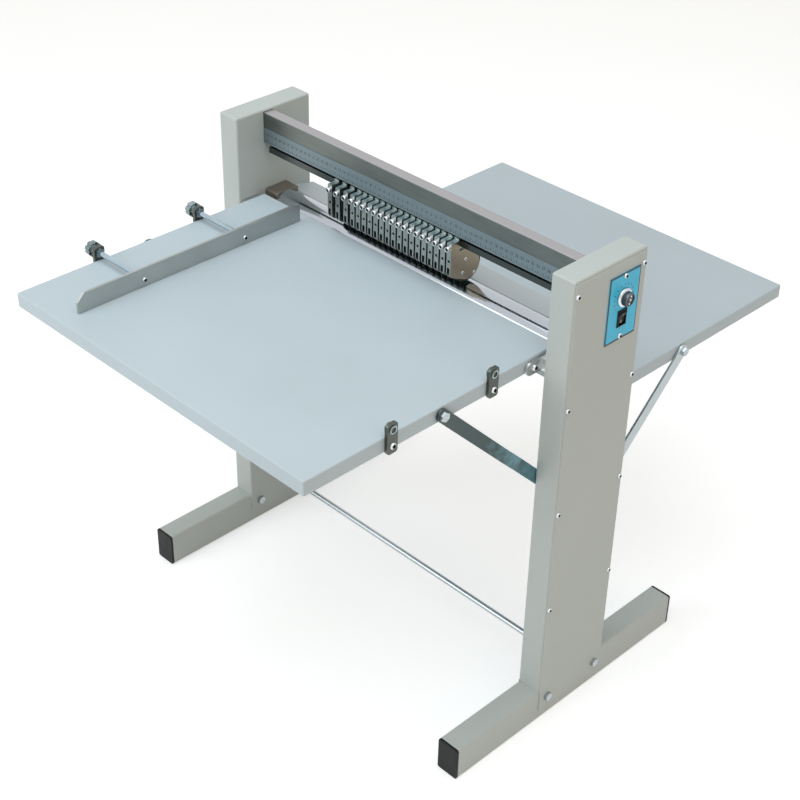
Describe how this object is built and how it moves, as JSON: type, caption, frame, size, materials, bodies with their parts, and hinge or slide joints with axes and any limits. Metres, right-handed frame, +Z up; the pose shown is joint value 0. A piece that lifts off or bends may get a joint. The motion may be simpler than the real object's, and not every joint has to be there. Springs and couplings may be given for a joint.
{
  "type": "paper creasing machine",
  "caption": "Floor-standing paper creasing machine: a driven drum under a rail of sliding creasing heads, with feed and delivery tables between two columns on T feet.",
  "frame": {"origin": "middle of the whole footprint, on the floor", "axes": "+X along the crossbeam to the control side, +Y from the feed table to the delivery table, +Z up"},
  "size_m": [0.7678, 1.0594, 0.806],
  "materials": {
    "frame_paint": "fine textured grey-green powder coat",
    "table_paint": "satin pale grey powder coat",
    "beam_steel": "ground steel",
    "scale_metal": "satin anodised strip with engraved divisions",
    "head_steel": "ground plate",
    "wheel_rubber": "dark green-black rubber",
    "drum_steel": "polished roller",
    "zinc": "bright zinc plate",
    "fastener": "bright plated",
    "black_plastic": "moulded",
    "belt_rubber": "moulded",
    "cast_block": "dark machined",
    "bronze": "sintered bronze",
    "motor_paint": "dark grey enamel",
    "gear_aluminium": "cast and machined",
    "panel_print": "printed blue plate",
    "knob_chrome": "bright metallised plastic"
  },
  "bodies": {
    "frame": {"beam_cleats": "zinc", "bearing_blocks": "cast_block", "bearing_bushes": "bronze", "button_screws": "fastener", "control_panel": "panel_print", "cord_gland": "black_plastic", "crossbeam": "beam_steel", "delivery_chute": "table_paint", "delivery_struts": "zinc", "delivery_table": "table_paint", "dome_screws": "fastener", "drive_belt": "belt_rubber", "feed_struts": "zinc", "feed_table": "table_paint", "foot_bolts": "zinc", "foot_end_caps": "black_plastic", "gear_motor": "motor_paint", "gearhead": "gear_aluminium", "guide_bushes": "zinc", "guide_plates": "zinc", "head_rail": "beam_steel", "left_column": "frame_paint", "left_foot": "frame_paint", "left_side_cover": "frame_paint", "rail_screws": "fastener", "right_column": "frame_paint", "right_foot": "frame_paint", "right_side_cover": "frame_paint", "rocker_housing": "black_plastic", "scale_strip": "scale_metal", "socket_screws": "fastener", "speed_controller": "black_plastic", "strut_bolts": "zinc", "table_brackets": "zinc", "tie_rod": "zinc", "tie_rod_nuts": "zinc"},
    "drum": {"drum": "drum_steel", "drum_pulley": "gear_aluminium"},
    "motor_drive": {"motor_pulley": "gear_aluminium", "output_shaft": "drum_steel"},
    "speed_dial": {"dial_knob": "knob_chrome"},
    "rocker": {"rocker_switch": "black_plastic"},
    "guide": {"lay_guide": "zinc", "guide_rods": "zinc", "guide_screws": "fastener"},
    "front_nut": {"front_clamp_nut": "zinc"},
    "rear_nut": {"rear_clamp_nut": "zinc"},
    "head_01": {"head_01_carriage": "head_steel", "head_01_lock_screw": "fastener"},
    "head_01_roller": {"head_01_wheel": "wheel_rubber"},
    "head_02": {"head_02_carriage": "head_steel", "head_02_lock_screw": "fastener"},
    "head_02_roller": {"head_02_wheel": "wheel_rubber"},
    "head_03": {"head_03_carriage": "head_steel", "head_03_lock_screw": "fastener"},
    "head_03_roller": {"head_03_wheel": "wheel_rubber"},
    "head_pack": {"head_pack_carriage": "head_steel", "head_pack_lock_screw": "fastener"},
    "head_pack_wheels": {"head_pack_wheel": "wheel_rubber"}
  },
  "joints": [
    {"name": "drum_spin", "type": "hinge", "parent": "frame", "child": "drum", "pos_m": [-0.00535, -0.01825, 0.639], "axis": [1, 0, 0], "continuous": true},
    {"name": "motor_pulley_spin", "type": "hinge", "parent": "frame", "child": "motor_drive", "pos_m": [0.32465, 0.03375, 0.594], "axis": [1, 0, 0], "continuous": true},
    {"name": "head_pack_slide", "type": "slide", "parent": "frame", "child": "head_pack", "axis": [1, 0, 0], "range_m": [-0.043, 0.188]},
    {"name": "head_03_slide", "type": "slide", "parent": "head_pack", "child": "head_03", "axis": [1, 0, 0], "range_m": [-0.032, 0.0053]},
    {"name": "head_02_slide", "type": "slide", "parent": "head_03", "child": "head_02", "axis": [1, 0, 0], "range_m": [-0.032, 0.0081]},
    {"name": "head_01_slide", "type": "slide", "parent": "head_02", "child": "head_01", "axis": [1, 0, 0], "range_m": [-0.032, 0.0075]},
    {"name": "head_01_wheel_spin", "type": "hinge", "parent": "head_01", "child": "head_01_roller", "pos_m": [-0.15885, -0.01825, 0.6959], "axis": [1, 0, 0], "continuous": true},
    {"name": "head_02_wheel_spin", "type": "hinge", "parent": "head_02", "child": "head_02_roller", "pos_m": [-0.14135, -0.01825, 0.6959], "axis": [1, 0, 0], "continuous": true},
    {"name": "head_03_wheel_spin", "type": "hinge", "parent": "head_03", "child": "head_03_roller", "pos_m": [-0.12325, -0.01825, 0.6959], "axis": [1, 0, 0], "continuous": true},
    {"name": "head_pack_wheel_spin", "type": "hinge", "parent": "head_pack", "child": "head_pack_wheels", "pos_m": [0.09925, -0.01825, 0.6959], "axis": [1, 0, 0], "continuous": true},
    {"name": "speed_dial_turn", "type": "hinge", "parent": "frame", "child": "speed_dial", "pos_m": [0.36885, 0.01125, 0.744], "axis": [-1, 0, 0], "range_deg": [0, 300]},
    {"name": "rocker_tilt", "type": "hinge", "parent": "frame", "child": "rocker", "pos_m": [0.36565, 0.01125, 0.711], "axis": [0, -1, 0], "range_deg": [0, 24]},
    {"name": "lay_guide_slide", "type": "slide", "parent": "frame", "child": "guide", "axis": [1, 0, 0], "range_m": [-0.092, 0.008]},
    {"name": "front_clamp_nut_turn", "type": "hinge", "parent": "frame", "child": "front_nut", "pos_m": [-0.32035, -0.38125, 0.68], "axis": [1, 0, 0], "range_deg": [-180, 180]},
    {"name": "rear_clamp_nut_turn", "type": "hinge", "parent": "frame", "child": "rear_nut", "pos_m": [-0.32035, -0.18925, 0.68], "axis": [1, 0, 0], "range_deg": [-180, 180]}
  ],
  "couplings": [
    {"joint": "motor_pulley_spin", "follows": "drum_spin", "ratio": 1},
    {"joint": "head_01_wheel_spin", "follows": "drum_spin", "ratio": -1.0179},
    {"joint": "head_02_wheel_spin", "follows": "drum_spin", "ratio": -1.0179},
    {"joint": "head_03_wheel_spin", "follows": "drum_spin", "ratio": -1.0179},
    {"joint": "head_pack_wheel_spin", "follows": "drum_spin", "ratio": -1.0179}
  ]
}
